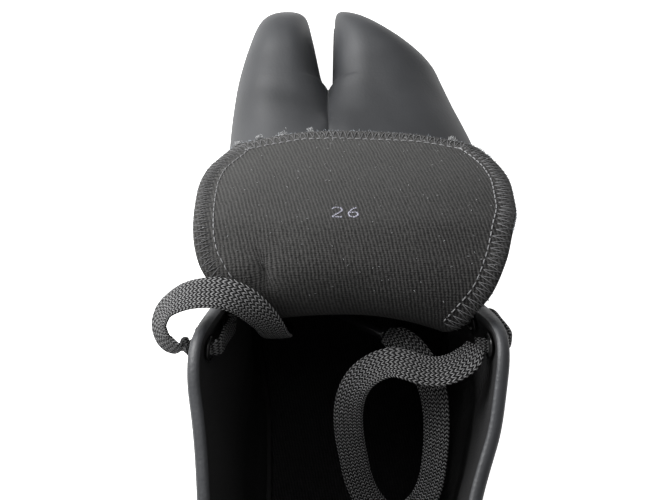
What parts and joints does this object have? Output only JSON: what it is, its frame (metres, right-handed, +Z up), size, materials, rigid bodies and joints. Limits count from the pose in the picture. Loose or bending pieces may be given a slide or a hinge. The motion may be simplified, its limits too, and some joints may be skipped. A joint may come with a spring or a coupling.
{
  "type": "high-top tabi sneaker",
  "caption": "Right high-top tabi sneaker with a split toe, matte black leather upper, twill tongue folded forward and flat knitted laces hanging loose.",
  "frame": {"origin": "on the floor under the middle of the heel's flat, 35 mm in front of the heel's back", "axes": "+Z up, +Y to the toes, +X to the outer (little toe) side"},
  "size_m": [0.1153, 0.2826, 0.1709],
  "materials": {
    "leather": "smooth matte black",
    "rubber": "matte black",
    "twill": "black cotton twill",
    "foam": "black textile over foam",
    "enamel": "black enamel",
    "lace": "black and grey flat knit",
    "film": "glossy black film"
  },
  "bodies": {
    "root": {"sole": "rubber", "insole": "foam", "upper": "leather", "tongue": "twill", "eyelet_medial_1": "enamel", "eyelet_medial_2": "enamel", "eyelet_medial_3": "enamel", "eyelet_medial_4": "enamel", "eyelet_medial_5": "enamel", "eyelet_medial_6": "enamel", "eyelet_medial_7": "enamel", "eyelet_lateral_1": "enamel", "eyelet_lateral_2": "enamel", "eyelet_lateral_3": "enamel", "eyelet_lateral_4": "enamel", "eyelet_lateral_5": "enamel", "eyelet_lateral_6": "enamel", "eyelet_lateral_7": "enamel", "lace_bar": "lace", "lace_cross_1": "lace", "lace_cross_2": "lace", "lace_cross_3": "lace", "lace_cross_4": "lace", "lace_cross_5": "lace", "lace_run_medial": "lace", "lace_run_lateral": "lace", "lace_end_left": "lace", "lace_end_right": "lace", "aglet_left": "film", "aglet_right": "film"}
  },
  "joints": []
}
